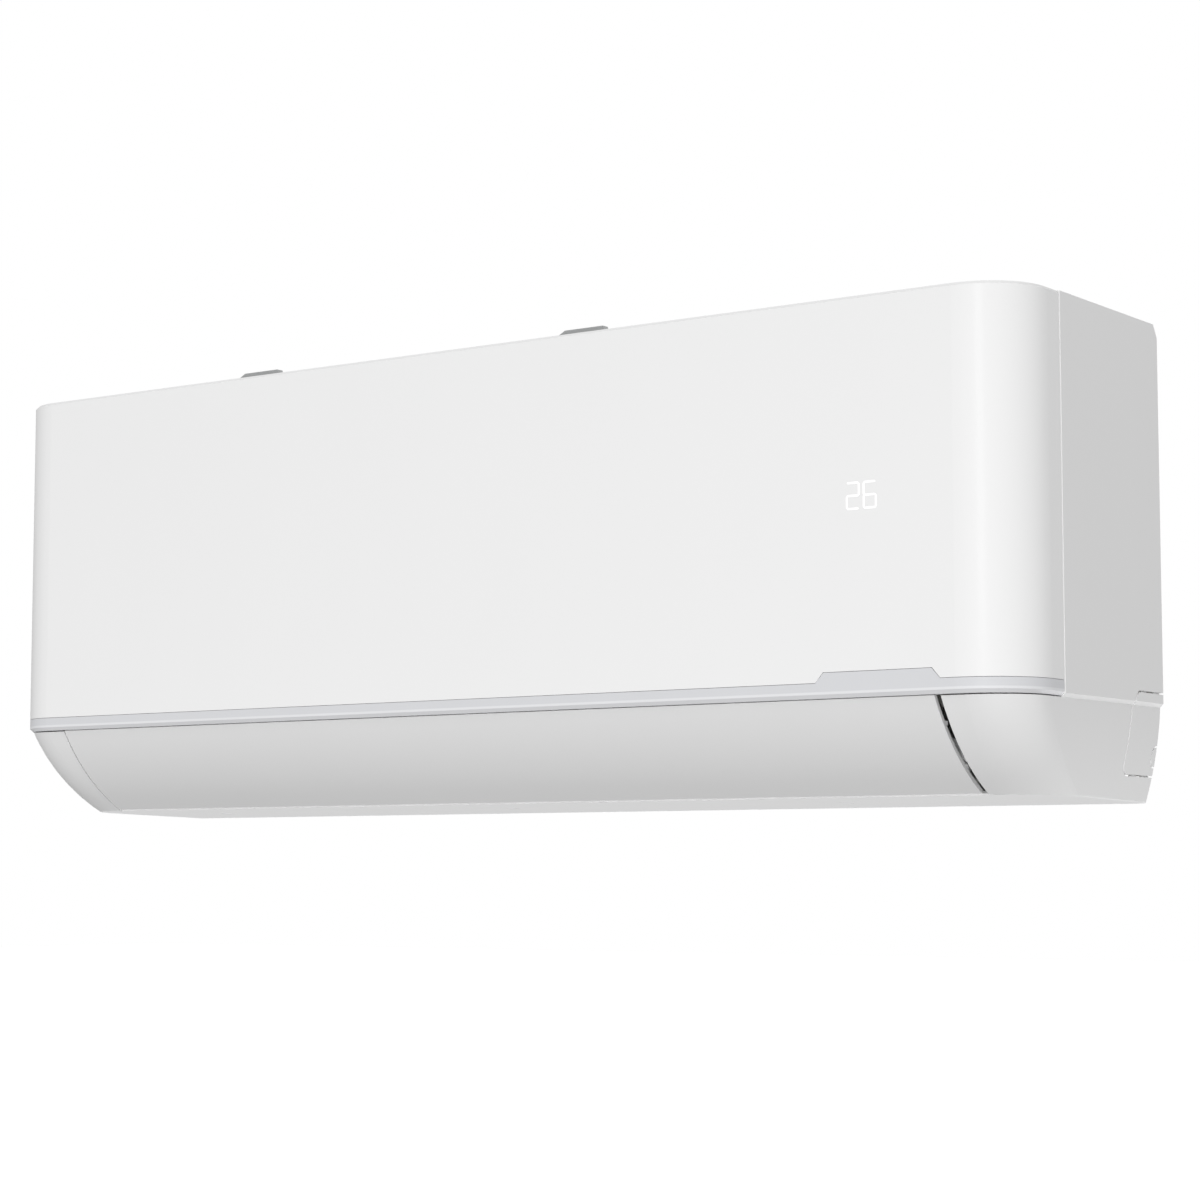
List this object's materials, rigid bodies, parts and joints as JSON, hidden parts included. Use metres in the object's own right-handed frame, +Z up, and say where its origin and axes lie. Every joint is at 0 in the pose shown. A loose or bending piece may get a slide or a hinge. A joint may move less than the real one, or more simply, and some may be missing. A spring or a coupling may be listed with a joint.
{
  "type": "wall-hung air conditioner indoor unit",
  "caption": "Wall-hung mini split indoor unit: rounded white front panel with silver strip, curved air flap, top filters, fan, coil and wall plate.",
  "frame": {"origin": "middle of the mounting plate, on its wall face", "axes": "+X right as seen from the room, +Y into the wall, +Z up"},
  "size_m": [0.8, 0.188, 0.2959],
  "materials": {
    "white_plastic": "gloss",
    "panel_plastic": "gloss",
    "silver_plastic": "gloss",
    "flap_plastic": "matte",
    "filter_plastic": "matte",
    "filter_net": "matte",
    "grey_plastic": "matte",
    "foam_pan": "matte",
    "fan_plastic": "matte",
    "dark_plastic": "matte",
    "steel": "brushed",
    "motor_can": "satin",
    "rubber": "matte",
    "fin_aluminium": "satin",
    "copper": "satin",
    "brass": "satin",
    "box_plastic": "matte",
    "circuit_board": "matte",
    "black_plastic": "matte",
    "core_steel": "matte",
    "button_plastic": "gloss",
    "sensor_copper": "satin",
    "galvanised_steel": "brushed"
  },
  "bodies": {
    "unit": {"outer_casing": "white_plastic", "pipe_cover_left": "white_plastic", "pipe_cover_right": "white_plastic", "rear_chassis": "grey_plastic", "motor_clamp": "grey_plastic", "pipe_clamp": "grey_plastic", "flap_bush": "grey_plastic", "outlet_end_plate": "grey_plastic", "drain_pan": "foam_pan", "casing_screws": "steel", "fan_bearing": "steel", "fan_motor": "motor_can", "flap_motor": "motor_can", "bearing_mount": "rubber", "coil_fins_front": "fin_aluminium", "coil_fins_top": "fin_aluminium", "coil_fins_rear": "fin_aluminium", "coil_end_plates": "fin_aluminium", "coil_tubes": "copper", "gas_pipe": "copper", "liquid_pipe": "copper", "gas_fitting": "brass", "liquid_fitting": "brass", "electrical_box": "box_plastic", "electrical_cover": "box_plastic", "control_board": "circuit_board", "display_board": "circuit_board", "digit_module": "black_plastic", "remote_receiver": "black_plastic", "terminal_block": "black_plastic", "capacitor": "black_plastic", "button_switch": "black_plastic", "transformer": "core_steel", "screw_caps": "button_plastic", "room_sensor": "sensor_copper", "mounting_plate": "galvanised_steel"},
    "panel": {"front_panel": "panel_plastic", "trim_strip": "silver_plastic"},
    "flap": {"air_flap": "flap_plastic"},
    "fan": {"fan_wheel": "fan_plastic", "hub_screw": "steel", "fan_stub_shaft": "steel", "motor_shaft": "steel"},
    "filter_left": {"filter_frame_left": "filter_plastic", "filter_mesh_left": "filter_net"},
    "filter_right": {"filter_frame_right": "filter_plastic", "filter_mesh_right": "filter_net"},
    "button": {"manual_button": "button_plastic"},
    "link_left": {"link_bar_left": "dark_plastic"},
    "link_right": {"link_bar_right": "dark_plastic"},
    "vane_1": {"swing_vane_1": "dark_plastic"},
    "vane_2": {"swing_vane_2": "dark_plastic"},
    "vane_3": {"swing_vane_3": "dark_plastic"},
    "vane_4": {"swing_vane_4": "dark_plastic"},
    "vane_5": {"swing_vane_5": "dark_plastic"},
    "vane_6": {"swing_vane_6": "dark_plastic"},
    "vane_7": {"swing_vane_7": "dark_plastic"},
    "vane_8": {"swing_vane_8": "dark_plastic"},
    "vane_9": {"swing_vane_9": "dark_plastic"},
    "vane_10": {"swing_vane_10": "dark_plastic"}
  },
  "joints": [
    {"name": "panel_hinge", "type": "hinge", "parent": "unit", "child": "panel", "pos_m": [0, -0.15, 0.142], "axis": [-1, 0, 0], "range_deg": [0, 55]},
    {"name": "flap_hinge", "type": "hinge", "parent": "unit", "child": "flap", "pos_m": [0, -0.141, -0.121], "axis": [1, 0, 0], "range_deg": [0, 85]},
    {"name": "fan_spin", "type": "hinge", "parent": "unit", "child": "fan", "pos_m": [0, -0.092, -0.035], "axis": [1, 0, 0], "continuous": true},
    {"name": "filter_left_slide", "type": "slide", "parent": "unit", "child": "filter_left", "axis": [0, 1, 0], "range_m": [-0.15, 0]},
    {"name": "filter_right_slide", "type": "slide", "parent": "unit", "child": "filter_right", "axis": [0, 1, 0], "range_m": [-0.15, 0]},
    {"name": "button_press", "type": "slide", "parent": "unit", "child": "button", "axis": [0, 1, 0], "range_m": [0, 0.0015], "stiffness_N_per_m": 800, "springref_m": -0.0005},
    {"name": "vane_1_swing", "type": "hinge", "parent": "unit", "child": "vane_1", "pos_m": [-0.3025, -0.088, -0.11388], "axis": [0, -0.6428, 0.766], "range_deg": [-35, 35]},
    {"name": "vane_2_swing", "type": "hinge", "parent": "unit", "child": "vane_2", "pos_m": [-0.2445, -0.088, -0.11388], "axis": [0, -0.6428, 0.766], "range_deg": [-35, 35]},
    {"name": "vane_3_swing", "type": "hinge", "parent": "unit", "child": "vane_3", "pos_m": [-0.1865, -0.088, -0.11388], "axis": [0, -0.6428, 0.766], "range_deg": [-35, 35]},
    {"name": "vane_4_swing", "type": "hinge", "parent": "unit", "child": "vane_4", "pos_m": [-0.1285, -0.088, -0.11388], "axis": [0, -0.6428, 0.766], "range_deg": [-35, 35]},
    {"name": "vane_5_swing", "type": "hinge", "parent": "unit", "child": "vane_5", "pos_m": [-0.0705, -0.088, -0.11388], "axis": [0, -0.6428, 0.766], "range_deg": [-35, 35]},
    {"name": "vane_6_swing", "type": "hinge", "parent": "unit", "child": "vane_6", "pos_m": [-0.0125, -0.088, -0.11388], "axis": [0, -0.6428, 0.766], "range_deg": [-35, 35]},
    {"name": "vane_7_swing", "type": "hinge", "parent": "unit", "child": "vane_7", "pos_m": [0.0455, -0.088, -0.11388], "axis": [0, -0.6428, 0.766], "range_deg": [-35, 35]},
    {"name": "vane_8_swing", "type": "hinge", "parent": "unit", "child": "vane_8", "pos_m": [0.1035, -0.088, -0.11388], "axis": [0, -0.6428, 0.766], "range_deg": [-35, 35]},
    {"name": "vane_9_swing", "type": "hinge", "parent": "unit", "child": "vane_9", "pos_m": [0.1615, -0.088, -0.11388], "axis": [0, -0.6428, 0.766], "range_deg": [-35, 35]},
    {"name": "vane_10_swing", "type": "hinge", "parent": "unit", "child": "vane_10", "pos_m": [0.2195, -0.088, -0.11388], "axis": [0, -0.6428, 0.766], "range_deg": [-35, 35]},
    {"name": "link_left_pin", "type": "hinge", "parent": "vane_1", "child": "link_left", "pos_m": [-0.3025, -0.10871, -0.1032], "axis": [0, -0.6428, 0.766], "range_deg": [-35, 35]},
    {"name": "link_right_pin", "type": "hinge", "parent": "vane_6", "child": "link_right", "pos_m": [-0.0125, -0.10871, -0.1032], "axis": [0, -0.6428, 0.766], "range_deg": [-35, 35]}
  ],
  "couplings": [
    {"joint": "vane_2_swing", "follows": "vane_1_swing", "ratio": 1},
    {"joint": "vane_3_swing", "follows": "vane_1_swing", "ratio": 1},
    {"joint": "vane_4_swing", "follows": "vane_1_swing", "ratio": 1},
    {"joint": "vane_5_swing", "follows": "vane_1_swing", "ratio": 1},
    {"joint": "vane_7_swing", "follows": "vane_6_swing", "ratio": 1},
    {"joint": "vane_8_swing", "follows": "vane_6_swing", "ratio": 1},
    {"joint": "vane_9_swing", "follows": "vane_6_swing", "ratio": 1},
    {"joint": "vane_10_swing", "follows": "vane_6_swing", "ratio": 1},
    {"joint": "link_left_pin", "follows": "vane_1_swing", "ratio": -1},
    {"joint": "link_right_pin", "follows": "vane_6_swing", "ratio": -1}
  ]
}
